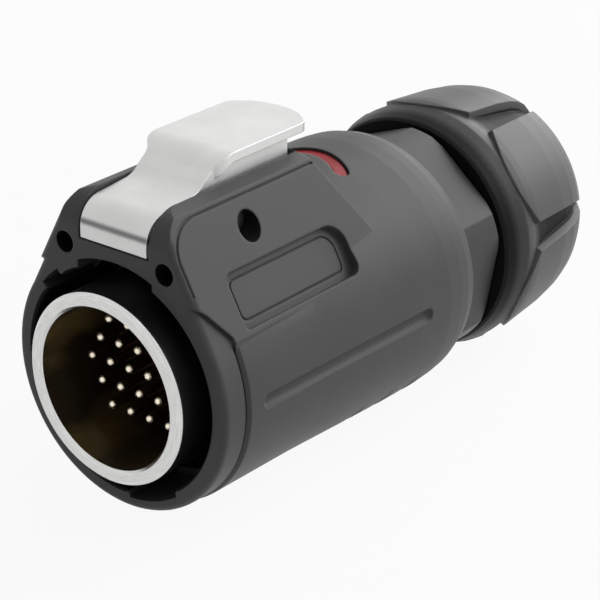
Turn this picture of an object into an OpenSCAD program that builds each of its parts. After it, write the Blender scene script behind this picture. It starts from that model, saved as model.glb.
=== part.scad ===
// Push pull circular connector, 24-way cable plug.
// The axis of the plug is X. The barrel mouth is at x = 0, the cable leaves toward +X and the latch is at +Z.

/* [Barrel and contacts] */
// Outer radius of the coupling barrel
barrel_r = 10.25; // [10:0.05:13]
// Radial thickness of the bright ring at the barrel mouth
barrel_wall = 1.6; // [1.2:0.05:1.8]
// Depth of the barrel behind its mouth
barrel_len = 23; // [22:0.5:28]
// How far the flange stands out from the barrel
flange_rim = 1.65; // [1.2:0.05:1.8]
// Depth of the insulator face behind the mouth
insert_face = 11.5; // [8:0.25:13.5]
// Depth of the pin tips behind the mouth
pin_tip = 4.9; // [3.5:0.1:7]
// Radius of a contact pin
pin_r = 0.5; // [0.35:0.05:0.6]
// Distance between neighbouring pins in a row
pin_pitch = 2.6; // [2.1:0.05:2.6]
// Distance between rows of pins
row_pitch = 2.45; // [2:0.05:2.5]

/* [Housing] */
// Distance from the barrel mouth back to the front face of the housing
face_x = 2.3; // [1.5:0.1:3]
// Radial gap between the barrel and the shroud, where the socket's sleeve goes
socket_gap = 1.85; // [1.6:0.05:2.3]
// Wall of the shroud at its mouth
shroud_wall = 1.95; // [1.7:0.05:2.4]
// Rear end of the front collar
collar_end = 5.6; // [4.5:0.1:7]
// How far the body swells from the collar to the grip
body_swell = 1.15; // [0.7:0.05:2]
// Rear end of the housing
body_end = 44.1; // [43.1:0.2:53.1]
// How far the rear lip is drawn in from the grip
lip_drop = 0.8; // [0.4:0.05:1.2]
// Depth of the grip grooves underneath
grip_depth = 0.8; // [0.2:0.05:0.9]

/* [Hump] */
// Height of the hump's crown over the front collar
hump_h = 5.65; // [4.7:0.05:7]
// Lean of the hump's flanks from upright, in degrees
flank_lean = 28.9; // [27:0.1:31]
// Rear top edge of the hump
hump_end = 25.2; // [24.7:0.1:30.3]
// Rounding of the hump's upper front corner
hump_nose_r = 3.8; // [3:0.1:4.6]
// Length of the badge recess
badge_len = 18; // [12:0.2:18.6]
// Height of the badge recess
badge_h = 5.9; // [4:0.1:6.1]
// Depth of the badge recess
badge_depth = 0.9; // [0.3:0.05:1]

/* [Latch] */
// Width of the lever in its slot
latch_w = 8.7; // [7.2:0.1:10.5]
// Sheet thickness of the lever
latch_t = 1.0; // [0.7:0.05:1.2]
// How far the thumb pad stands out on each side of the lever
pad_side = 0.85; // [0.5:0.05:1.2]
// How far the thumb pad reaches past the hump
pad_over = 2.7; // [1.5:0.1:3.5]
// Height of the thumb pad over the hump's crown
pad_h = 2.5; // [2.1:0.05:3.2]
// Position of the lever's pivot along the plug
pivot_x = 13.3; // [12.9:0.1:13.9]
// Radius of the pivot pin
pivot_r = 1.2; // [0.9:0.05:1.45]

/* [Cable end] */
// Length of the hexagon
hex_len = 6.7; // [4:0.1:8]
// How far the hexagon's flats lie under its turned corners
hex_land = 1.2; // [0.8:0.05:1.5]
// How far the lobes of the tail nut stand over the hexagon's corners
nut_rise = 1.5; // [1.2:0.05:2.2]
// Length of the tail nut
nut_len = 18.4; // [15.2:0.1:22.2]
// Radius of the cable hole in the grommet
cable_r = 5.5; // [3.5:0.1:6.6]

/* [Fits] */
// Running clearance of the barrel, the pin and the threads
fit = 0.05; // [0.03:0.01:0.08]
// Clearance of each side of the lever in its slot
slot_gap = 0.3; // [0.15:0.05:0.4]

/* [Hidden] */
$fn = 96;
eps = 0.01;
rows = [4, 5, 6, 5, 4];
pin_count = 24;
pin_places = [
    for (row = [0 : len(rows) - 1])
        for (column = [0 : rows[row] - 1])
            [((rows[row] - 1) / 2 - column) * pin_pitch, ((len(rows) - 1) / 2 - row) * row_pitch]
];
pin_names = [for (n = [1 : pin_count]) str("contact_pin_", n < 10 ? "0" : "", n)];

// radii that follow from the barrel outward
flange_r = barrel_r + flange_rim;
shroud_bore_r = barrel_r + socket_gap;
keyway_r = shroud_bore_r + 1;
face_round = 0.7;
flank_round = 0.8;
collar_r = shroud_bore_r + shroud_wall;
body_front_r = collar_r + 0.25;
body_rear_r = collar_r + body_swell;
lip_r = body_rear_r - lip_drop;
chamber_r = shroud_bore_r + 0.2;
thread_r = chamber_r + 0.2;
hex_corner_r = lip_r - 0.8;
hex_flats = 2 * (hex_corner_r - hex_land);
tube_r = hex_flats / 2 - 0.8;
spigot_bore_r = tube_r - 3;
gland_r = tube_r - 1.9;
lobe_r = hex_corner_r + nut_rise;
exit_r = cable_r + 1.3;

// barrel, insulator and contacts
wall_front = 14;
wall_rear = 16;
gasket_t = 0.5;
flange_t = 2;
flange_x = wall_rear + gasket_t;
ring_nut_x = flange_x + flange_t;
ring_nut_t = 3;
barrel_bore_r = barrel_r - barrel_wall;
relief_x = wall_front - 0.9;
seat_x = barrel_len - 5;
seat_r = barrel_bore_r + 0.6;
insert_r = barrel_bore_r - fit;
insert_flange_t = 2;
insert_rear = seat_x + insert_flange_t;
contact_r = pin_r + 0.3;
contact_step = insert_face + 1.5;
cup_len = 4;

// hump, slot and lever
crown_r = collar_r + hump_h;
flank_dist = collar_r + 0.45;
flank_tilt = 90 - flank_lean;
indicator_x = hump_end + 1.75;
indicator_floor = chamber_r + 1.1;
slot_w = latch_w + 2 * slot_gap;
slot_floor = chamber_r + 1;
nose_floor = crown_r - 5.2;
nose_end = pivot_x - 3.8;
slot_end = hump_end - 0.5;
boss_r = pivot_r + 0.75;
pivot_z = slot_floor + boss_r + 0.25;
pad_w = latch_w + 2 * pad_side;
pad_end = hump_end + pad_over;
pad_z = crown_r + pad_h;
latch_low = nose_floor + 0.2;
latch_bend_r = 2.9;
latch_mid_z = crown_r - 0.8;
cheek_y = latch_w / 2;
cheek_t = latch_t * 0.9;
cheek_end = slot_end - 0.9;
cheek_low = slot_floor + 3.3;
tooth_x = face_x + 3.6;
tooth_len = 1.5;
tooth_w = latch_w - 3.1;
tooth_low = shroud_bore_r + 0.3;
pin_half = (flank_dist - pivot_z * sin(flank_lean)) / cos(flank_lean) - 2;
recess_r = pivot_r + 0.3;
spring_x = hump_end - 3.6;
spring_r = 2;
wire_r = 0.28;
spring_turns = 5;

// cable end
spigot_x = body_end - 10;
hex_x = body_end;
hex_end = hex_x + hex_len;
nut_gap = 0.4;
nut_clock = 6.5;
nut_x = hex_end + nut_gap;
nut_end = nut_x + nut_len;
tube_end = nut_x + 9.3;
gland_x = hex_end + 1.4;
grommet_len = 7;
washer_t = 0.6;
washer_x = gland_x + grommet_len;
claw_x = washer_x + washer_t + fit;
claw_end = nut_end - 2.6;

// ---------- helpers ----------

// Round bar along X.
module rod(r, from, to) {
    translate([from, 0, 0]) rotate([0, 90, 0]) cylinder(r = r, h = to - from);
}

// Body turned about X from a list of [station, radius] points.
module turned(points) {
    rotate([0, 90, 0]) rotate_extrude() polygon([for (p = points) [p[1], p[0]]]);
}

// Extrusion along X of an outline drawn in the Y-Z plane.
module along_x(from, to) {
    translate([from, 0, 0]) rotate([90, 0, 90]) linear_extrude(to - from) children();
}

// Extrusion across the plug, centred on y = 0, of an outline drawn in the X-Z plane.
module across(width) {
    translate([0, width / 2, 0]) rotate([90, 0, 0]) linear_extrude(width) children();
}

// Frame of the flank at -Y: X along the plug, Y up the flank, Z out of it.
module on_flank() {
    rotate([flank_tilt, 0, 0]) translate([0, 0, flank_dist]) children();
}

// The same shape on both sides of the plug.
module both_sides() {
    children();
    mirror([0, 1, 0]) children();
}

// Points of an arc about [cx, cy].
function arc(cx, cy, r, from, to, steps = 12) =
    [for (i = [0 : steps]) let (a = from + (to - from) * i / steps) [cx + r * cos(a), cy + r * sin(a)]];

// Rectangle with a radius of its own at each corner: lower left, lower right, upper right, upper left.
module rounded_plate(len, h, radii) {
    polygon(concat(
        arc(radii[0], radii[0], radii[0], 180, 270),
        arc(len - radii[1], radii[1], radii[1], 270, 360),
        arc(len - radii[2], h - radii[2], radii[2], 0, 90),
        arc(radii[3], h - radii[3], radii[3], 90, 180)));
}

// ---------- housing ----------

module body_of_revolution() {
    turned([
        [collar_end, 0], [collar_end, body_front_r - 0.35], [collar_end + 0.35, body_front_r],
        [collar_end + 11.9, flank_dist], [hump_end + 1.3, flank_dist + 0.35],
        [body_end - 10.6, body_rear_r - 0.1], [body_end - 5.6, body_rear_r],
        [body_end - 3.4, body_rear_r - 0.1], [body_end - 2, body_rear_r - 0.25], [body_end - 0.5, lip_r + 0.1],
        [body_end, lip_r - 0.3], [body_end, 0]]);
    turned(concat(
        [[face_x, 0]],
        arc(face_x + face_round, collar_r - face_round, face_round, 180, 90, 5),
        [[collar_end - 0.3, collar_r], [collar_end + eps, collar_r - 0.3], [collar_end + eps, 0]]));
}

// Section of the hump: two leaning flanks under a crown that is round about the plug's axis.
module hump_section(dist) {
    tangent_y = dist * cos(flank_lean);
    tangent_z = dist * sin(flank_lean);
    intersection() {
        circle(crown_r);
        polygon([
            [-tangent_y, 0], [tangent_y, 0], [tangent_y, tangent_z],
            [0, dist / sin(flank_lean)], [-tangent_y, tangent_z]]);
    }
}

// Side view of the hump: a round nose, and a rear end that slopes down to the grip.
module hump_side() {
    nose_x = face_x + hump_nose_r;
    nose_z = crown_r - 0.55 - hump_nose_r;
    polygon(concat(
        [[collar_end, collar_r * 0.53], [face_x + 1.1, collar_r * 0.73], [face_x, collar_r * 0.79]],
        arc(nose_x, nose_z, hump_nose_r, 180, 90),
        [[nose_x + 4, crown_r + 0.1], [hump_end - 0.8, crown_r + 0.1], [hump_end - 0.1, crown_r - 1.1],
         [hump_end + 6.7, collar_r / 2], [hump_end + 6.7, 0], [collar_end, 0]]));
}

// Everything inside a flank at that distance, with the edge between it and the front face rounded.
module behind_flank(dist) {
    far = 3 * crown_r;
    rotate([flank_tilt, 0, 0]) translate([0, far / 2, 0]) rotate([90, 0, 0]) linear_extrude(far) polygon(concat(
        [[face_x, -far]],
        arc(face_x + flank_round, dist - flank_round, flank_round, 180, 90, 6),
        [[hump_end + 8, dist], [hump_end + 8, -far]]));
}

module between_flanks(dist, end) {
    intersection() {
        along_x(face_x, end) hump_section(dist);
        behind_flank(dist);
        mirror([0, 1, 0]) behind_flank(dist);
        children();
    }
}

// The hump, and the web that carries the collar up into its front.
module hump() {
    between_flanks(flank_dist, hump_end + 7) across(4 * collar_r) hump_side();
    between_flanks(collar_r, collar_end)
        translate([0, -collar_r, 0]) cube([collar_end, 2 * collar_r, crown_r - 5]);
}

// Slot for the lever, with a shallow nose and a deep part around the pivot, and the tooth's window.
module latch_slot() {
    translate([face_x - 1, -slot_w / 2, nose_floor]) cube([slot_end - face_x + 1, slot_w, 10]);
    translate([nose_end, -slot_w / 2, slot_floor]) cube([slot_end - nose_end, slot_w, 10]);
    translate([tooth_x - 0.6, -tooth_w / 2 - 0.3, barrel_r]) cube([tooth_len + 1, tooth_w + 0.6, 6]);
}

module pivot_holes() {
    both_sides() {
        translate([pivot_x, 0, pivot_z]) rotate([90, 0, 0]) cylinder(r = pivot_r + fit, h = 12);
        translate([pivot_x, -pin_half, pivot_z]) rotate([90, 0, 0]) cylinder(r = recess_r, h = 6);
    }
}

// Recess for a badge, left bare but for a plain engraved border.
module badge_recess() {
    on_flank() translate([collar_end + 2, 0.5, 0]) {
        translate([0, 0, -badge_depth]) linear_extrude(3)
            rounded_plate(badge_len, badge_h, [0.6, 1.2, 2.6, 0.9]);
        translate([0, 0, -badge_depth - 0.15]) linear_extrude(1) difference() {
            translate([0.8, 0.75]) rounded_plate(badge_len - 1.9, badge_h - 1.5, [0.9, 0.9, 1.9, 0.9]);
            translate([1, 0.95]) rounded_plate(badge_len - 2.3, badge_h - 1.9, [0.7, 0.7, 1.7, 0.7]);
        }
    }
}

// Fine line that runs just inside the front and top edges of each flank.
module panel_line() {
    top = sqrt(crown_r * crown_r - flank_dist * flank_dist);
    module outline(inset) {
        translate([face_x + inset, 2 + inset])
            rounded_plate(hump_end + 4 - face_x, top - 2 - 2 * inset, [0.5, 0.5, 0.5, hump_nose_r]);
    }
    both_sides() on_flank() translate([0, 0, -0.16]) linear_extrude(1) difference() {
        outline(0.4);
        outline(0.65);
        translate([-1, -1]) square([60, top / 2]);
        translate([hump_end, -1]) square([60, 60]);
    }
}

// Round-ended groove along each side.
module side_grooves() {
    groove_r = 0.9;
    from = collar_end + 3.1;
    length = body_end - 9.8 - from;
    tilt = 1.8;
    both_sides() translate([from, -body_front_r - 0.3, 0.1]) rotate([0, 90, -tilt]) {
        sphere(r = groove_r, $fn = 32);
        cylinder(r = groove_r, h = length, $fn = 32);
        translate([0, 0, length]) sphere(r = groove_r, $fn = 32);
    }
}

// Three thumb grooves underneath: each ring is set high, so its cut fades out up the sides.
module grip_grooves() {
    ring_r = 1.7;
    lift = 1.9;
    reach = body_rear_r - grip_depth + lift + ring_r;
    for (i = [0 : 2])
        translate([body_end - 16.6 + 4.6 * i, 0, lift]) rotate([0, 90, 0])
            rotate_extrude() translate([reach - 0.25 + 0.12 * i, 0]) circle(ring_r, $fn = 32);
}

// Keyways in the shroud's bore: a wide one on top, a stepped pair beside it and one low on the -Y side.
module keyways() {
    depth = 7;
    module keyway(angle, half, r) {
        rotate([angle, 0, 0]) intersection() {
            rod(r, face_x - 1, face_x + depth);
            translate([face_x - 1, -half, 5]) cube([depth + 1, 2 * half, 12]);
        }
    }
    keyway(0, 4.95, keyway_r);
    keyway(-44, 1.5, keyway_r - 0.1);
    keyway(160, 3.4, keyway_r - 0.3);
}

// Pocket behind the hump that holds the red indicator.
module indicator_outline(gap) {
    middle_r = 7.3;
    half = 0.7 + gap;
    sweep = 36;
    tip = middle_r * [cos(sweep), sin(sweep)];
    translate([indicator_x, 0]) polygon(concat(
        arc(0, 0, middle_r + half, -sweep, sweep, 16),
        arc(tip[0], tip[1], half, sweep + 30, sweep + 150, 4),
        arc(0, 0, middle_r - half, sweep, -sweep, 16),
        arc(tip[0], -tip[1], half, 210 - sweep, 330 - sweep, 4)));
}

module main_housing() {
    color("#3a3a3c") difference() {
        union() {
            body_of_revolution();
            hump();
        }
        rod(shroud_bore_r, face_x - 1, wall_front);
        turned([[face_x - eps, 0], [face_x - eps, shroud_bore_r + 0.3], [face_x + 0.3, shroud_bore_r],
            [face_x + 0.3, 0]]);
        rod(barrel_r + fit, wall_front - 1, wall_rear + 1);
        rod(chamber_r, wall_rear, spigot_x + 1);
        rod(thread_r, spigot_x, body_end + 1);
        keyways();
        latch_slot();
        pivot_holes();
        both_sides() translate([0, -latch_w / 2 - 2.25, collar_r - 0.45]) rod(1.15, face_x - 1, face_x + 5);
        badge_recess();
        panel_line();
        side_grooves();
        grip_grooves();
        translate([0, 0, indicator_floor]) linear_extrude(5) indicator_outline(0.2);
    }
}

// ---------- barrel and contacts ----------

module coupling_barrel() {
    color("#d6d6d8") difference() {
        turned([
            [0.35, 0], [0.35, barrel_bore_r - eps], [0, barrel_bore_r + 0.3], [0, barrel_r - 0.45],
            [0.4, barrel_r], [relief_x, barrel_r], [relief_x, barrel_r - 0.4], [wall_front, barrel_r - 0.4],
            [wall_front, barrel_r], [flange_x, barrel_r], [flange_x, flange_r], [flange_x + flange_t, flange_r],
            [flange_x + flange_t, barrel_r], [barrel_len, barrel_r], [barrel_len, 0]]);
        rod(barrel_bore_r, -1, barrel_len + 1);
        rod(seat_r, seat_x, barrel_len + 1);
    }
}

module barrel_gasket() {
    color("#1c1c1c") difference() {
        rod(flange_r, wall_rear, flange_x);
        rod(barrel_r + fit, wall_rear - 1, flange_x + 1);
    }
}

module barrel_ring_nut() {
    color("#b9b9bd") difference() {
        rod(chamber_r - fit, ring_nut_x, ring_nut_x + ring_nut_t);
        rod(barrel_r + fit, ring_nut_x - 1, ring_nut_x + ring_nut_t + 1);
        for (a = [0 : 90 : 270])
            rotate([a, 0, 0]) translate([ring_nut_x + 1.6, -1, barrel_r - 1]) cube([3, 2, 5]);
    }
}

module contact_insert() {
    color("#241a10") difference() {
        union() {
            rod(insert_r, insert_face, insert_rear);
            rod(seat_r - fit, seat_x, insert_rear);
        }
        for (p = pin_places) translate([0, p[0], p[1]]) {
            rod(pin_r + fit / 2, insert_face - 1, insert_rear + 1);
            rod(contact_r + fit / 2, contact_step, insert_rear + 1);
        }
    }
}

module insert_retaining_ring() {
    color("#b9b9bd") difference() {
        rod(seat_r - fit, insert_rear, insert_rear + 1.2);
        rod(seat_r - 1.4, insert_rear - 1, insert_rear + 3);
    }
}

// Pin with a domed tip in front and a solder cup behind.
module contact_pin(n) {
    rear = insert_rear + cup_len;
    color("#e8dcc0") translate([0, pin_places[n - 1][0], pin_places[n - 1][1]]) difference() {
        turned(concat(
            [[pin_tip, 0]],
            [for (a = [15 : 15 : 90]) [pin_tip + pin_r * (1 - cos(a)), pin_r * sin(a)]],
            [[contact_step, pin_r], [contact_step, contact_r], [rear, contact_r], [rear, 0]]));
        rod(contact_r - 0.25, rear - 2.8, rear + 1, $fn = 24);
        translate([rear - 2, -contact_r - 1, 0.1]) cube([3, 2 * contact_r + 2, 2]);
    }
}

// ---------- latch ----------

module lock_indicator() {
    color("#b8242c") intersection() {
        translate([0, 0, indicator_floor]) linear_extrude(5) indicator_outline(0);
        rod(flank_dist + 0.35, indicator_x - 1, body_end);
    }
}

module pivot_pin() {
    color("#8f9094") translate([pivot_x, pin_half, pivot_z]) rotate([90, 0, 0])
        cylinder(r = pivot_r, h = 2 * pin_half, $fn = 48);
}

// Compression spring, a round wire swept along a helix with closed end coils.
module latch_spring() {
    sides = 8;
    steps = 14 * spring_turns;
    low = slot_floor + wire_r;
    high = pad_z - latch_t - wire_r - fit;
    function rise(t) = t < 0.15 ? 0.2 * t : t > 0.85 ? 1 - 0.2 * (1 - t) : 0.03 + 0.94 * (t - 0.15) / 0.7;
    function ring(i) = let (t = i / steps, a = 360 * spring_turns * t)
        [for (k = [0 : sides - 1]) let (b = 360 * k / sides, r = spring_r + wire_r * cos(b))
            [r * cos(a), r * sin(a), low + (high - low) * rise(t) + wire_r * sin(b)]];
    points = [for (i = [0 : steps]) each ring(i)];
    walls = [for (i = [0 : steps - 1], k = [0 : sides - 1]) let (j = (k + 1) % sides)
        [i * sides + k, i * sides + j, (i + 1) * sides + j, (i + 1) * sides + k]];
    caps = [[for (k = [sides - 1 : -1 : 0]) k], [for (k = [0 : sides - 1]) steps * sides + k]];
    color("#9a9ba0") translate([spring_x, 0, 0]) polyhedron(points, concat(walls, caps));
}

// Side line of the lever's sheet, lowered by its depth below the outer face: the nose that hooks over
// the front, the flat that lies between the rails, the riser and the thumb pad.
function latch_line(depth) = concat(
    [[face_x + depth, latch_low]],
    arc(face_x + latch_bend_r, latch_mid_z - 0.3 - latch_bend_r, latch_bend_r - depth, 180, 97, 8),
    arc(pivot_x - 4.6, latch_mid_z + 2.9, 2.9 + depth, 272, 318, 6),
    arc(pivot_x + 1.4, pad_z - 3.2, 3.2 - depth, 148, 90, 8),
    [[pad_end + 1, pad_z - depth]]);

// Plan of the lever, seen from above: a strip, and a thumb pad with round shoulders and a bowed rear edge.
module lever_plan() {
    half = pad_w / 2;
    shoulder_x = pivot_x - 0.9;
    bow_r = 8;
    translate([face_x - 1, -latch_w / 2]) square([12, latch_w]);
    polygon(concat(
        [[shoulder_x, -latch_w / 2]],
        arc(shoulder_x + 1.3, -half + 1.3, 1.3, 215, 270, 4),
        arc(pad_end - 2.9, -half + 1.5, 1.5, 270, 330, 5),
        arc(pad_end - bow_r, 0, bow_r, -24, 24, 8),
        arc(pad_end - 2.9, half - 1.5, 1.5, 30, 90, 5),
        arc(shoulder_x + 1.3, half - 1.3, 1.3, 90, 145, 4),
        [[shoulder_x, latch_w / 2]]));
}

// Cheek under the pad, with a boss round the pivot.
module cheek_outline() {
    polygon([
        [pivot_x - boss_r, pivot_z], [pivot_x - boss_r, latch_mid_z - latch_t / 2],
        [pivot_x - 1.6, pad_z - 2.1], [pivot_x + 0.2, pad_z - latch_t / 2],
        [cheek_end, pad_z - latch_t / 2], [cheek_end, cheek_low + 0.8], [cheek_end - 0.8, cheek_low],
        [pivot_x + boss_r + 1.5, cheek_low], [pivot_x + boss_r, pivot_z]]);
    translate([pivot_x, pivot_z]) circle(boss_r);
}

module latch_lever() {
    inner = latch_line(latch_t);
    last = len(inner) - 1;
    color("#d9dadc") difference() {
        union() {
            intersection() {
                across(pad_w + 1) polygon(concat(latch_line(0), [for (i = [last : -1 : 0]) inner[i]]));
                linear_extrude(2 * crown_r) lever_plan();
            }
            both_sides() translate([0, -cheek_y + cheek_t, 0]) rotate([90, 0, 0])
                linear_extrude(cheek_t) cheek_outline();
            translate([tooth_x, -tooth_w / 2, tooth_low])
                cube([tooth_len, tooth_w, latch_mid_z - latch_t / 2 - tooth_low]);
        }
        translate([pivot_x, 20, pivot_z]) rotate([90, 0, 0]) cylinder(r = pivot_r + fit, h = 40);
    }
}

// ---------- cable end ----------

module rear_shell() {
    seal_x = body_end - 1.6;
    color("#3c3c3e") difference() {
        union() {
            rod(thread_r - fit, spigot_x, hex_x);
            intersection() {
                along_x(hex_x, hex_end) rotate(40) circle(hex_flats / sqrt(3), $fn = 6);
                turned([[hex_x, 0], [hex_x, hex_corner_r], [hex_end - 0.5, hex_corner_r],
                    [hex_end, hex_corner_r - 0.6], [hex_end, 0]]);
            }
            rod(tube_r, hex_end, tube_end);
        }
        rod(spigot_bore_r, spigot_x - 1, tube_end + 1);
        rod(gland_r, gland_x, tube_end + 1);
        difference() {
            rod(thread_r + 1, seal_x - 0.7, seal_x + 0.7);
            rod(thread_r - 1.25, seal_x - 1, seal_x + 1);
        }
    }
}

module body_seal() {
    seal_r = 0.6;
    color("#202020") translate([body_end - 1.6, 0, 0]) rotate([0, 90, 0])
        rotate_extrude() translate([thread_r - seal_r - fit / 2, 0]) circle(seal_r, $fn = 32);
}

module cable_grommet() {
    color("#2a2a2a") difference() {
        turned([[gland_x, 0], [gland_x, gland_r - 0.8], [gland_x + 2, gland_r - fit],
            [gland_x + grommet_len, gland_r - fit], [gland_x + grommet_len, 0]]);
        rod(cable_r, gland_x - 1, gland_x + grommet_len + 1);
    }
}

module slip_washer() {
    color("#c9c6bc") difference() {
        rod(gland_r - 0.1, washer_x, washer_x + washer_t);
        rod(cable_r + 0.9, washer_x - 1, washer_x + 2);
    }
}

// Collet with eight fingers that the nut's cone closes on the cable.
module clamp_claw() {
    ring_end = tube_end + 0.6;
    color("#4a4a4c") difference() {
        turned([[claw_x, 0], [claw_x, gland_r - 0.15], [ring_end, gland_r - 0.15], [ring_end, gland_r + 0.2],
            [ring_end + 1.2, gland_r + 0.2], [claw_end, exit_r + 0.9], [claw_end, 0]]);
        rod(cable_r + 0.7, claw_x - 1, claw_end + 1);
        for (a = [0 : 45 : 135])
            rotate([a, 0, 0]) translate([ring_end, -0.5, -15]) cube([20, 1, 30]);
    }
}

// Plan of one lobe of the nut: a tongue with a bowed front.
module lobe_plan() {
    half = 0.39 * lobe_r;
    bow_r = 9;
    bow = asin(half / bow_r);
    polygon(concat(
        arc(nut_x + 3.4 + bow_r, 0, bow_r, 180 - bow, 180 + bow),
        [[nut_end + 1, -half], [nut_end + 1, half]]));
}

module tail_nut() {
    color("#404042") difference() {
        union() {
            turned([
                [nut_x, 0], [nut_x, lobe_r - 1.45], [nut_x + 0.35, lobe_r - 1.2], [nut_x + 2.2, lobe_r - 0.75],
                [nut_x + 3.6, lobe_r - 0.5], [nut_x + 4.6, lobe_r - 0.55], [nut_x + 6, lobe_r - 0.85],
                [nut_x + 8.5, lobe_r - 1.4], [nut_end - 7.1, lobe_r - 1.75],
                [nut_end - 4.4, lobe_r - 2.1], [nut_end - 2.8, lobe_r - 2.5], [nut_end - 1.5, lobe_r - 3.05],
                [nut_end - 0.6, lobe_r - 3.7], [nut_end, lobe_r - 4.5], [nut_end, 0]]);
            intersection() {
                turned([
                    [nut_x + 3, 0], [nut_x + 3, lobe_r - 0.75], [nut_x + 3.6, lobe_r - 0.3],
                    [nut_x + 4.4, lobe_r - 0.15], [nut_x + 5.4, lobe_r - 0.14], [nut_x + 8, lobe_r - 0.35],
                    [nut_end - 7.1, lobe_r - 0.6], [nut_end - 4.4, lobe_r - 1],
                    [nut_end - 2.8, lobe_r - 1.45], [nut_end - 1.5, lobe_r - 2.1],
                    [nut_end - 0.6, lobe_r - 3], [nut_end, lobe_r - 4.1], [nut_end, 0]]);
                for (a = [0 : 60 : 300]) rotate([a - nut_clock, 0, 0]) linear_extrude(2 * lobe_r) lobe_plan();
            }
        }
        rod(tube_r + fit, nut_x - 1, tube_end + 0.7);
        turned([[tube_end + 0.7 - eps, 0], [tube_end + 0.7 - eps, tube_r + fit], [tube_end + 1.5, tube_r - 0.6],
            [claw_end + 0.1, exit_r + 1.35], [claw_end + 0.5, exit_r], [claw_end + 0.5, 0]]);
        rod(exit_r, claw_end, nut_end + 1);
    }
}

main_housing();
coupling_barrel();
barrel_gasket();
barrel_ring_nut();
contact_insert();
insert_retaining_ring();
lock_indicator();
pivot_pin();
latch_spring();
latch_lever();
rear_shell();
body_seal();
cable_grommet();
slip_washer();
clamp_claw();
tail_nut();
for (n = [1 : pin_count])
    contact_pin(n);
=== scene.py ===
"""Looks of the push pull circular connector: finishes, return spring, floor, lights and camera.

Lengths are in metres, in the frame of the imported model: +X runs from the barrel mouth to the cable,
+Z points to the latch lever, and the axis of the plug is the X axis. Colours are linear RGB.
"""
import math

import bpy
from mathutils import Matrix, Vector


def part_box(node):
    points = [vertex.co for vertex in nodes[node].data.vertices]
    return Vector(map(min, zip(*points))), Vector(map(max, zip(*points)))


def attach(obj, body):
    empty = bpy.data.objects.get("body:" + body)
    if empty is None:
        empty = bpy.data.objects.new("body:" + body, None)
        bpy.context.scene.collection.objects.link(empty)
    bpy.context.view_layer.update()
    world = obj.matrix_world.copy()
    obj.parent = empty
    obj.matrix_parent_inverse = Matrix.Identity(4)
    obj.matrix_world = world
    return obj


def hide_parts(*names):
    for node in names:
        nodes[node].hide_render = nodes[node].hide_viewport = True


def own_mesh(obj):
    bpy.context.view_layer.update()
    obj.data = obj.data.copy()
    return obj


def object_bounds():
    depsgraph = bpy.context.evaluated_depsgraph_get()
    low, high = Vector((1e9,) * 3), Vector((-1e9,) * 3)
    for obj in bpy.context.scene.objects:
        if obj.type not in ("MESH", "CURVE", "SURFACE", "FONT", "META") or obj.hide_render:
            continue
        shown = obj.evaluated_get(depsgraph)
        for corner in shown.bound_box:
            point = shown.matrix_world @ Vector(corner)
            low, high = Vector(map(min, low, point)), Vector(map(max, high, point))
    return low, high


MM = 0.001

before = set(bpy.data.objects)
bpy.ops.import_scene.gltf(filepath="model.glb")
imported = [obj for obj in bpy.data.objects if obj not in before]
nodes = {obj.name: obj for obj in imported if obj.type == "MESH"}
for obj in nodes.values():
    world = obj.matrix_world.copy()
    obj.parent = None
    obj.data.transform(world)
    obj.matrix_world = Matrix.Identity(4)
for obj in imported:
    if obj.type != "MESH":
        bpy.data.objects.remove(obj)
cad_box = [list(corner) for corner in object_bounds()]
low, high = (Vector(corner) for corner in cad_box)


# ---------- node helpers ----------

NOISE_LOW, NOISE_HIGH = 0.3, 0.7        # range that holds nearly all of a noise texture
EDGE_LEAN = (0.02, 0.25)                # lean of the normal where an edge starts, and is full
OPEN_SKY = (0.3, 0.8)                   # open share of the sky in a full crease, and clear of it
ARC_RADIUS = 10 * MM                    # radius at which arc lengths about the axis are true
EDGE_SAMPLES = 4
ROUNDING_SAMPLES = 6
CREASE_SAMPLES = 6


def feed(tree, socket, value):
    """Links an output socket to an input socket, or sets a number or colour on it."""
    if isinstance(value, bpy.types.NodeSocket):
        tree.links.new(value, socket)
    else:
        socket.default_value = value


def add(tree, kind, inputs=None, **settings):
    """Adds a shader node. An input is a number or colour, or the output socket that feeds it."""
    made = tree.nodes.new(kind)
    for name, value in settings.items():
        setattr(made, name, value)
    for name, value in (inputs or {}).items():
        feed(tree, made.inputs[name], value)
    return made


def math_node(tree, operation, *values):
    return add(tree, "ShaderNodeMath", dict(enumerate(values)), operation=operation).outputs[0]


def remap(tree, value, from_low, from_high, to_low, to_high):
    """Maps a value from one range to another, and clamps it there."""
    return add(tree, "ShaderNodeMapRange", {
        "Value": value, "From Min": from_low, "From Max": from_high,
        "To Min": to_low, "To Max": to_high}).outputs["Result"]


def spread(tree, pattern, start, end):
    """Spreads a noise pattern over the range from start to end."""
    return remap(tree, pattern, NOISE_LOW, NOISE_HIGH, start, end)


def grey(level):
    return (level, level, level)


def shade(colour, factor):
    return tuple(channel * factor for channel in colour)


def mix_colour(tree, factor, first, second):
    """Mixes two colours, each an RGB triple or an output socket."""
    first, second = (colour if isinstance(colour, bpy.types.NodeSocket) else (*colour, 1)
                     for colour in (first, second))
    return add(tree, "ShaderNodeMix", {0: factor, 6: first, 7: second}, data_type="RGBA").outputs[2]


def mottle(tree, pattern, first, second):
    """Colour that wanders from first to second with a noise pattern."""
    return mix_colour(tree, spread(tree, pattern, 0.0, 1.0), first, second)


def noise(tree, where, size, detail=2):
    """Noise whose blobs are about size metres across."""
    return add(tree, "ShaderNodeTexNoise", {
        "Vector": where, "Scale": 1 / size, "Detail": detail}).outputs[0]


def stretched(tree, where, scale):
    """Coordinates multiplied axis by axis, to draw noise out into streaks."""
    return add(tree, "ShaderNodeVectorMath", {0: where, 1: scale}, operation="MULTIPLY").outputs[0]


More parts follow.
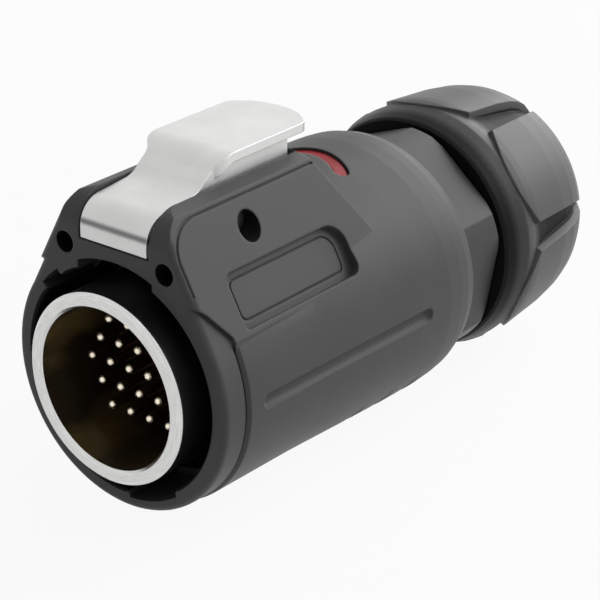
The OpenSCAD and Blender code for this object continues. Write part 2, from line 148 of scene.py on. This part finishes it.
def round_the_axis(tree, where):
    """Coordinates about the plug's axis: distance along it, radius, and arc length round it."""
    x, y, z = add(tree, "ShaderNodeSeparateXYZ", {0: where}).outputs
    square = math_node(tree, "ADD", math_node(tree, "MULTIPLY", y, y),
                       math_node(tree, "MULTIPLY", z, z))
    radius = math_node(tree, "SQRT", square)
    arc = math_node(tree, "MULTIPLY", math_node(tree, "ARCTAN2", y, z), ARC_RADIUS)
    return add(tree, "ShaderNodeCombineXYZ", {0: x, 1: radius, 2: arc}).outputs[0]


def rounded_normal(tree, radius, samples):
    """Normal that turns smoothly over sharp edges."""
    return add(tree, "ShaderNodeBevel", {"Radius": radius}, samples=samples).outputs[0]


def edge_mask(tree, radius):
    """1 on sharp edges and 0 on flat stretches, from how far a rounded normal leans."""
    rounded = rounded_normal(tree, radius, EDGE_SAMPLES)
    flat = add(tree, "ShaderNodeNewGeometry").outputs["Normal"]
    same = add(tree, "ShaderNodeVectorMath", {0: rounded, 1: flat},
               operation="DOT_PRODUCT").outputs["Value"]
    return remap(tree, math_node(tree, "SUBTRACT", 1.0, same), *EDGE_LEAN, 0.0, 1.0)


def painted_crease_shade(tree, reach, darkest):
    """Mask of painted shade: 1 in the open, falling to darkest in grooves and inner corners narrower
    than reach.
    """
    sky = add(tree, "ShaderNodeAmbientOcclusion", {"Distance": reach}, samples=CREASE_SAMPLES,
              only_local=True)
    return remap(tree, sky.outputs["AO"], *OPEN_SKY, darkest, 1.0)


def bump(tree, height, depth, rounding=None):
    """Bump of that depth in metres, over a normal that rounds the edges."""
    inputs = {"Height": height, "Strength": 1.0, "Distance": depth}
    if rounding:
        inputs["Normal"] = rounded_normal(tree, rounding, ROUNDING_SAMPLES)
    return add(tree, "ShaderNodeBump", inputs).outputs[0]


def surface(name):
    """New material: its node tree, its Principled shader and the object's own coordinates."""
    material = bpy.data.materials.new(name)
    material.use_nodes = True
    tree = material.node_tree
    return (material, tree, tree.nodes["Principled BSDF"],
            add(tree, "ShaderNodeTexCoord").outputs["Object"])


def join(tree, shader, **sockets):
    """Feeds the shader's sockets, each named with underscores for its spaces."""
    for name, value in sockets.items():
        feed(tree, shader.inputs[name.replace("_", " ")], value)


# ---------- finishes, with painted shade, highlights and reflection ---

EDGE_R = 0.28 * MM                      # how round the edges of a moulding look
FLOW_TINT = 1.18                        # lightest flow cloud, against the base colour
FLOW_ROUGH = 0.035                      # how far the clouds change the roughness
RUBBED_SHARE = 0.55                     # how far the sharpest edges take the rubbed colour
RUBBED_POLISH = 0.1                     # how much smoother they are
# painted shade colour for grooves and inner corners
CREASE_SHADE_BLACK = grey(0.004)
PAINTED_SHADE_BLACK = grey(0.010)                # painted shade colour, and shine, of the stretches under the shade and dull mask
DULL_SPECULAR = 0.08


def moulded_plastic(name, dark, rubbed, rough, grain=0.09 * MM, depth=0.006 * MM, specular=0.25,
                    shade_and_dull_mask=None):
    """Spark-eroded moulded plastic: a fine grain, faint flow clouds, edges rubbed lighter and painted
    shade in creases.

    shade_and_dull_mask is a function that makes the mask of the stretches that are painted darker as
    shade and shine less.
    """
    material, tree, shader, where = surface(name)
    cloud = noise(tree, where, 9 * MM, detail=3)
    fine = noise(tree, where, grain)
    scuff = noise(tree, stretched(tree, where, (0.35, 1, 1)), 0.7 * MM, detail=4)
    edges = math_node(tree, "MULTIPLY", edge_mask(tree, 0.16 * MM),
                      remap(tree, scuff, 0.35, 0.65, 0.25, 1.0))
    base = mottle(tree, cloud, dark, shade(dark, FLOW_TINT))
    if shade_and_dull_mask:
        shade_and_dull = shade_and_dull_mask(tree, where)
        # painted shade: the nut's skirt and valleys darkened towards black, and less shiny
        base = mix_colour(tree, shade_and_dull, base, PAINTED_SHADE_BLACK)
        specular = remap(tree, shade_and_dull, 0.0, 1.0, specular, DULL_SPECULAR)
    base = mix_colour(tree, math_node(tree, "MULTIPLY", edges, RUBBED_SHARE), base, rubbed)
    # painted shade: grooves and inner corners darkened towards black
    base = mix_colour(tree, painted_crease_shade(tree, 0.5 * MM, 0.15), CREASE_SHADE_BLACK, base)
    worn = math_node(tree, "SUBTRACT", spread(tree, cloud, rough - FLOW_ROUGH, rough + FLOW_ROUGH),
                     math_node(tree, "MULTIPLY", edges, RUBBED_POLISH))
    join(tree, shader, Base_Color=base, Roughness=worn, Normal=bump(tree, fine, depth, EDGE_R),
         Specular_IOR_Level=specular)
    return material


NICKEL = ((0.74, 0.74, 0.73), (0.80, 0.80, 0.79))
# painted highlight colour for the lever's sharp edges
NICKEL_EDGE_HIGHLIGHT = (0.9, 0.9, 0.89)
# painted shade colour for the lever's creases
NICKEL_CREASE_SHADE = grey(0.08)
REFLECTION_BAND_GREY = grey(0.15)
REFLECTION_BAND_STRENGTH = 0.9
REFLECTION_BAND_Z = 16.45 * MM                     # height of the painted dark reflection band across the lever's nose
REFLECTION_BAND_WAVER = 0.12 * MM
REFLECTION_BAND_FADE = (0.12 * MM, 0.45 * MM)      # distance where the painted band starts to fade, and is gone


def painted_reflection_band(tree, where, streaks):
    """Strength of the painted dark reflection band across the plating of the lever's nose."""
    height = add(tree, "ShaderNodeSeparateXYZ", {0: where}).outputs[2]
    waver = math_node(tree, "MULTIPLY", spread(tree, streaks, -1.0, 1.0), REFLECTION_BAND_WAVER)
    above = math_node(tree, "SUBTRACT", math_node(tree, "ADD", height, waver), REFLECTION_BAND_Z)
    return remap(tree, math_node(tree, "ABSOLUTE", above), *REFLECTION_BAND_FADE, REFLECTION_BAND_STRENGTH, 0.0)


def nickel_plate(name):
    """Satin nickel on a bent lever: fine streaks, soft clouds, painted edge highlights, painted
    crease shade and a painted dark reflection band.
    """
    material, tree, shader, where = surface(name)
    streaks = noise(tree, stretched(tree, where, (0.12, 1, 1)), 0.05 * MM)
    cloud = noise(tree, where, 4 * MM, detail=3)
    grain = noise(tree, where, 0.12 * MM, detail=3)
    base = mottle(tree, cloud, *NICKEL)
    # painted reflection: a dark band across the nose
    base = mix_colour(tree, painted_reflection_band(tree, where, streaks), base, REFLECTION_BAND_GREY)
    # painted highlight: sharp edges lightened
    base = mix_colour(tree, edge_mask(tree, 0.12 * MM), base, NICKEL_EDGE_HIGHLIGHT)
    # painted shade: the lever's creases darkened
    base = mix_colour(tree, painted_crease_shade(tree, 1.1 * MM, 0.1), NICKEL_CREASE_SHADE, base)
    rough = math_node(tree, "ADD", spread(tree, cloud, 0.3, 0.36),
                      spread(tree, streaks, -0.02, 0.02))
    relief = math_node(tree, "ADD", streaks, grain)
    join(tree, shader, Base_Color=base, Metallic=0.6, Roughness=rough,
         Normal=bump(tree, relief, 0.0016 * MM, 0.14 * MM))
    return material


GROOVE_TINT = 0.72                      # darkest turned ring, against the base colour
# painted highlight on the turned edges: its colour, and how far it covers them
TURNED_EDGE_HIGHLIGHT = (0.88, 0.88, 0.86)
TURNED_HIGHLIGHT_SHARE = 0.6


def turned_metal(name, colour, rough):
    """Lathe-turned metal: fine rings about the plug's axis, and painted highlights on its edges."""
    material, tree, shader, where = surface(name)
    rings = noise(tree, stretched(tree, round_the_axis(tree, where), (1, 1, 0.03)), 0.05 * MM,
                  detail=3)
    cloud = noise(tree, where, 3 * MM, detail=3)
    # painted highlight: sharp edges lightened
    edges = math_node(tree, "MULTIPLY", edge_mask(tree, 0.1 * MM), TURNED_HIGHLIGHT_SHARE)
    base = mottle(tree, rings, shade(colour, GROOVE_TINT), colour)
    base = mix_colour(tree, edges, base, TURNED_EDGE_HIGHLIGHT)
    worn = math_node(tree, "ADD", spread(tree, rings, rough - 0.05, rough + 0.05),
                     spread(tree, cloud, -0.02, 0.03))
    join(tree, shader, Base_Color=base, Metallic=1.0, Roughness=worn,
         Normal=bump(tree, rings, 0.003 * MM, 0.1 * MM))
    return material


CLOUD_TINT = 0.85                       # darkest cloud on plain metal and smooth plastic


def plain_steel(name, colour, rough):
    material, tree, shader, where = surface(name)
    cloud = noise(tree, where, 1.2 * MM, detail=4)
    join(tree, shader, Base_Color=mottle(tree, cloud, shade(colour, CLOUD_TINT), colour),
         Metallic=1.0, Roughness=spread(tree, cloud, rough - 0.05, rough + 0.06),
         Normal=bump(tree, cloud, 0.002 * MM, 0.08 * MM))
    return material


def smooth_plastic(name, colour, rough, specular=0.5):
    """Glossy moulded plastic with a very faint orange peel."""
    material, tree, shader, where = surface(name)
    peel = noise(tree, where, 0.6 * MM)
    cloud = noise(tree, where, 3 * MM, detail=3)
    join(tree, shader, Base_Color=mottle(tree, cloud, shade(colour, CLOUD_TINT), colour),
         Roughness=spread(tree, cloud, rough - 0.03, rough + 0.05),
         Normal=bump(tree, peel, 0.004 * MM, 0.1 * MM), Specular_IOR_Level=specular)
    return material


def varnish(name, dark, light, rough):
    """Brown varnish on the inner wall, pooled thick and thin along the bore."""
    material, tree, shader, where = surface(name)
    pools = noise(tree, stretched(tree, where, (0.5, 1, 1)), 6 * MM, detail=3)
    fine = noise(tree, where, 0.5 * MM, detail=3)
    base = mix_colour(tree, remap(tree, pools, 0.5, 0.68, 0.0, 1.0), dark, light)
    join(tree, shader, Base_Color=base, Roughness=spread(tree, pools, rough + 0.1, rough),
         Normal=bump(tree, fine, 0.003 * MM))
    return material


def gold_plate(name):
    material, tree, shader, where = surface(name)
    cloud = noise(tree, where, 0.4 * MM, detail=3)
    join(tree, shader, Base_Color=mottle(tree, cloud, (0.86, 0.76, 0.58), (0.96, 0.9, 0.78)),
         Metallic=1.0, Roughness=spread(tree, cloud, 0.24, 0.34),
         Normal=bump(tree, cloud, 0.002 * MM))
    return material


def rubber(name, colour, rough):
    material, tree, shader, where = surface(name)
    fine = noise(tree, where, 0.2 * MM, detail=3)
    join(tree, shader, Base_Color=mottle(tree, fine, shade(colour, 0.8), colour),
         Roughness=spread(tree, fine, rough - 0.05, rough + 0.05),
         Normal=bump(tree, fine, 0.01 * MM, 0.12 * MM), Specular_IOR_Level=0.3)
    return material


nut_low, nut_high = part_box("tail_nut")
# How far the skirt and valleys, painted in shade and duller, lie under the nut's outer radius:
# [station, drop] in mm.
VALLEYS = ((0, 0.9), (3.4, 0.34), (6, 0.6), (8.5, 0.95), (11.3, 1.25), (14, 1.6), (15.6, 2.05),
           (17.2, 3))
VALLEY_FADE = (-0.05 * MM, 0.15 * MM)


def below_the_lobes(tree, where):
    """Mask of painted shade and lower shine: 1 on the nut's skirt and valleys and 0 on its lobes."""
    along, radius, _ = add(tree, "ShaderNodeSeparateXYZ", {0: round_the_axis(tree, where)}).outputs
    length, deepest = VALLEYS[-1]
    station = remap(tree, along, nut_low.x, nut_low.x + length * MM, 0.0, 1.0)
    ramp = add(tree, "ShaderNodeValToRGB", {0: station})
    stops = ramp.color_ramp.elements
    for index, (place, drop) in enumerate(VALLEYS):
        if index > 1:
            stops.new(place / length)
        stops[index].position = place / length
        stops[index].color = (*grey(drop / deepest), 1)
    drop = math_node(tree, "MULTIPLY", ramp.outputs[0], deepest * MM)
    floor_r = math_node(tree, "SUBTRACT", nut_high.z, drop)
    return remap(tree, math_node(tree, "SUBTRACT", floor_r, radius), *VALLEY_FADE, 0.0, 1.0)


BLACK = (0.072, 0.072, 0.073)
RUBBED = (0.22, 0.22, 0.222)
body_black = moulded_plastic("body_black", BLACK, RUBBED, 0.5)
shell_black = moulded_plastic("shell_black", (0.05, 0.05, 0.051), RUBBED, 0.46, grain=0.12 * MM)
# painted shade colour for the housing's shroud and holes
recess_shade_black = moulded_plastic("recess_shade_black", grey(0.008), grey(0.03), 0.5, specular=0.1)
nut_black = moulded_plastic("nut_black", BLACK, RUBBED, 0.45, specular=0.35,
                            shade_and_dull_mask=below_the_lobes)
nickel = nickel_plate("satin_nickel")
mouth_metal = turned_metal("turned_mouth", (0.72, 0.72, 0.71), 0.22)
ring_metal = turned_metal("turned_ring", (0.62, 0.61, 0.58), 0.3)
barrel_black = moulded_plastic("barrel_black", grey(0.008), grey(0.05), 0.3, depth=0.002 * MM,
                               specular=0.8)
barrel_brown = varnish("barrel_brown", (0.026, 0.017, 0.006), (0.17, 0.115, 0.04), 0.3)
steel = plain_steel("steel", (0.55, 0.55, 0.56), 0.35)
brown = smooth_plastic("brown_insulator", (0.075, 0.032, 0.014), 0.28)
red = smooth_plastic("red_insert", (0.36, 0.018, 0.024), 0.3, specular=0.12)
gold = gold_plate("gold_contact")
bronze = plain_steel("contact_shank", (0.10, 0.065, 0.03), 0.45)
black_rubber = rubber("black_rubber", grey(0.02), 0.7)
white_washer = smooth_plastic("white_washer", (0.6, 0.58, 0.52), 0.5)

FINISHES = {
    "main_housing": body_black, "rear_shell": shell_black, "tail_nut": nut_black,
    "clamp_claw": shell_black, "latch_lever": nickel, "pivot_pin": steel, "latch_spring": steel,
    "lock_indicator": red, "coupling_barrel": mouth_metal, "barrel_ring_nut": ring_metal,
    "insert_retaining_ring": ring_metal, "contact_insert": brown, "barrel_gasket": black_rubber,
    "body_seal": black_rubber, "cable_grommet": black_rubber, "slip_washer": white_washer,
}
pins = [part for name, part in nodes.items() if name.startswith("contact_pin")]
for name, part in nodes.items():
    part.data.materials.clear()
    part.data.materials.append(gold if part in pins else FINISHES[name])


# ---------- faces with a finish or painted shade of their own ---

# The barrel is bright at its turned mouth, black outside behind it and brown inside.
MOUTH_DEPTH = 0.45 * MM
BARREL_MIDDLE = 9.45 * MM               # radius between the barrel's inner and outer walls
barrel = nodes["coupling_barrel"]
barrel.data.materials.append(barrel_black)
barrel.data.materials.append(barrel_brown)
for face in barrel.data.polygons:
    if face.center.x > MOUTH_DEPTH:
        face.material_index = 1 if face.center.yz.length > BARREL_MIDDLE else 2

# The mouth of the housing is painted with shade, dead black, round the barrel, and so are its small
# holes.
SHROUD_BORE = 12.3 * MM
SHROUD_DEPTH = 14 * MM
PIVOT = Vector((13.3, 15.5)) * MM       # the pivot's axis, in x and z
PIVOT_HOLE = 1.55 * MM
SLOT_SIDE = 4.7 * MM                    # y beyond which the rails beside the lever's slot lie
FRONT_HOLE_AT = Vector((6.6, 13.6)) * MM    # axis of a small hole in the front face, in y and z
FRONT_HOLE = 1.2 * MM
FRONT_HOLE_ENDS = (2.35 * MM, 8 * MM)
SIDE_ON = 0.05                          # largest sideways lean of a pivot hole's wall


def in_painted_shade(face):
    """Whether a face of the housing gets painted shade: in the shroud, in a front hole or in a pivot
    hole.
    """
    x, y, z = face.center
    start, end = FRONT_HOLE_ENDS
    in_shroud = x < SHROUD_DEPTH and face.center.yz.length < SHROUD_BORE
    in_front_hole = start < x < end and (Vector((abs(y), z)) - FRONT_HOLE_AT).length < FRONT_HOLE
    in_pivot_hole = (abs(face.normal.y) < SIDE_ON and abs(y) > SLOT_SIDE
                     and (face.center.xz - PIVOT).length < PIVOT_HOLE)
    return in_shroud or in_front_hole or in_pivot_hole


housing = nodes["main_housing"]
housing.data.materials.append(recess_shade_black)
for face in housing.data.polygons:
    if in_painted_shade(face):
        face.material_index = 1

# Each contact has a bright domed tip on a dull shank.
DOME_END = 5.3 * MM
for pin in pins:
    pin.data.materials.append(bronze)
    for face in pin.data.polygons:
        if face.center.x > DOME_END:
            face.material_index = 1


# ---------- return spring ----------

TURNS = 5
WIRE = 0.28 * MM                        # radius of the spring's wire
SIDES = 12                              # facets round the wire
STEPS_PER_TURN = 28
CLOSED = 0.15                           # share of the wire in each closed end
END_PITCH = 0.2                         # rise in a closed end, against the mean rise


def rise(t):
    """Share of the spring's height at share t of its wire."""
    end_rise = END_PITCH * CLOSED
    if t < CLOSED:
        return END_PITCH * t
    if t > 1 - CLOSED:
        return 1 - END_PITCH * (1 - t)
    return end_rise + (1 - 2 * end_rise) * (t - CLOSED) / (1 - 2 * CLOSED)


def coil_spring(bottom, top):
    """Return spring under the thumb pad: round wire on a helix, its end coils closed."""
    middle = (bottom + top) / 2
    coil_r = (top.y - bottom.y) / 2 - WIRE
    travel = top.z - bottom.z - 2 * WIRE
    steps = TURNS * STEPS_PER_TURN
    points = []
    for step in range(steps + 1):
        t = step / steps
        turn = 2 * math.pi * TURNS * t
        for side in range(SIDES):
            around = 2 * math.pi * side / SIDES
            reach = coil_r + WIRE * math.cos(around)
            points.append((middle.x + reach * math.cos(turn), middle.y + reach * math.sin(turn),
                           bottom.z + WIRE + travel * rise(t) + WIRE * math.sin(around)))
    walls = [(step * SIDES + side, step * SIDES + (side + 1) % SIDES,
              (step + 1) * SIDES + (side + 1) % SIDES, (step + 1) * SIDES + side)
             for step in range(steps) for side in range(SIDES)]
    ends = [tuple(reversed(range(SIDES))), tuple(steps * SIDES + side for side in range(SIDES))]
    mesh = bpy.data.meshes.new("return_spring")
    mesh.from_pydata(points, [], walls + ends)
    for face in mesh.polygons[:len(walls)]:
        face.use_smooth = True
    mesh.materials.append(steel)
    coil = bpy.data.objects.new("return_spring", mesh)
    bpy.context.scene.collection.objects.link(coil)
    return coil


spring_low, spring_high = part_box("latch_spring")
spring = coil_spring(spring_low, spring_high)
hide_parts("latch_spring")
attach(spring, "housing")
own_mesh(spring)


# ---------- floor and world ----------

WHITE = (1, 1, 1, 1)
FLOOR_SIZE = 6
FLOOR_WHITE = 0.93                      # share of plain white in the floor that the camera sees
WORLD_LIGHT = 0.1


def seen_plainly(tree):
    """1 for camera, glossy and transmission rays, and 0 for rays that carry light."""
    rays = add(tree, "ShaderNodeLightPath").outputs
    seen = math_node(tree, "MAXIMUM", rays["Is Camera Ray"], rays["Is Glossy Ray"])
    return math_node(tree, "MAXIMUM", seen, rays["Is Transmission Ray"])


def mix_shader(tree, factor, first, second):
    return add(tree, "ShaderNodeMixShader", {0: factor, 1: first, 2: second}).outputs[0]


def make_floor():
    """Pale floor that shows white, keeps a soft shadow, and can't be seen from below."""
    bpy.ops.mesh.primitive_grid_add(x_subdivisions=8, y_subdivisions=8, size=FLOOR_SIZE,
                                    location=(0, 0, low.z))
    floor = bpy.context.object
    floor.name = "floor"
    material, tree, shader, where = surface("pale_floor")
    tone = noise(tree, where, 60 * MM, detail=3)
    join(tree, shader, Base_Color=mix_colour(tree, tone, grey(0.70), grey(0.74)), Roughness=0.9)
    share = math_node(tree, "MULTIPLY", seen_plainly(tree), FLOOR_WHITE)
    white = add(tree, "ShaderNodeEmission", {"Color": WHITE, "Strength": 1.0}).outputs[0]
    above = mix_shader(tree, share, shader.outputs[0], white)
    under = add(tree, "ShaderNodeNewGeometry").outputs["Backfacing"]
    clear = add(tree, "ShaderNodeBsdfTransparent").outputs[0]
    tree.links.new(mix_shader(tree, under, above, clear),
                   tree.nodes["Material Output"].inputs["Surface"])
    floor.data.materials.append(material)


def make_world():
    """World that shows white and lights the scene only a little."""
    world = bpy.data.worlds.new("studio")
    bpy.context.scene.world = world
    world.use_nodes = True
    tree = world.node_tree
    ambient, white = (
        add(tree, "ShaderNodeBackground", {"Color": WHITE, "Strength": level}).outputs[0]
        for level in (WORLD_LIGHT, 1.0))
    tree.links.new(mix_shader(tree, seen_plainly(tree), ambient, white),
                   tree.nodes["World Output"].inputs["Surface"])


make_world()
make_floor()


# ---------- lights ----------

# Square softboxes that face the plug: [name, place from its centre, side, radiance].
SOFTBOXES = (
    ("right_softbox", (0.40, -0.36, 0.36), 0.4, 3.7),
    ("end_softbox", (0.57, 0.0, 0.30), 0.5, 2.9),
    ("top_softbox", (0.03, -0.24, 0.55), 0.45, 1.4),
)
centre = (low + high) / 2
for name, offset, side, radiance in SOFTBOXES:
    lamp = bpy.data.lights.new(name, "AREA")
    lamp.shape = "RECTANGLE"
    lamp.size = lamp.size_y = side
    lamp.energy = radiance * math.pi * side * side
    holder = bpy.data.objects.new(name, lamp)
    bpy.context.scene.collection.objects.link(holder)
    holder.location = centre + Vector(offset)
    holder.rotation_euler = (centre - holder.location).to_track_quat("-Z", "Y").to_euler()


# ---------- camera ----------

AZIMUTH = math.radians(-51.32)
ELEVATION = math.radians(24.79)
AIM = Vector((15.43, -12.70, 8.05)) * MM
DISTANCE = 209.2 * MM
SENSOR_WIDTH = 36                       # in mm, as Blender wants it, and so is the focal length
FOCAL_LENGTH = 126.5
NEAREST = 0.01
back = Vector((math.sin(AZIMUTH) * math.cos(ELEVATION), -math.cos(AZIMUTH) * math.cos(ELEVATION),
               math.sin(ELEVATION)))
camera = bpy.data.objects.new("camera", bpy.data.cameras.new("camera"))
bpy.context.scene.collection.objects.link(camera)
camera.data.sensor_width = SENSOR_WIDTH
camera.data.lens = FOCAL_LENGTH
camera.data.clip_start = NEAREST
camera.location = AIM + DISTANCE * back
camera.rotation_euler = (-back).to_track_quat("-Z", "Y").to_euler()
bpy.context.scene.camera = camera

bpy.context.scene.view_settings.view_transform = "Standard"
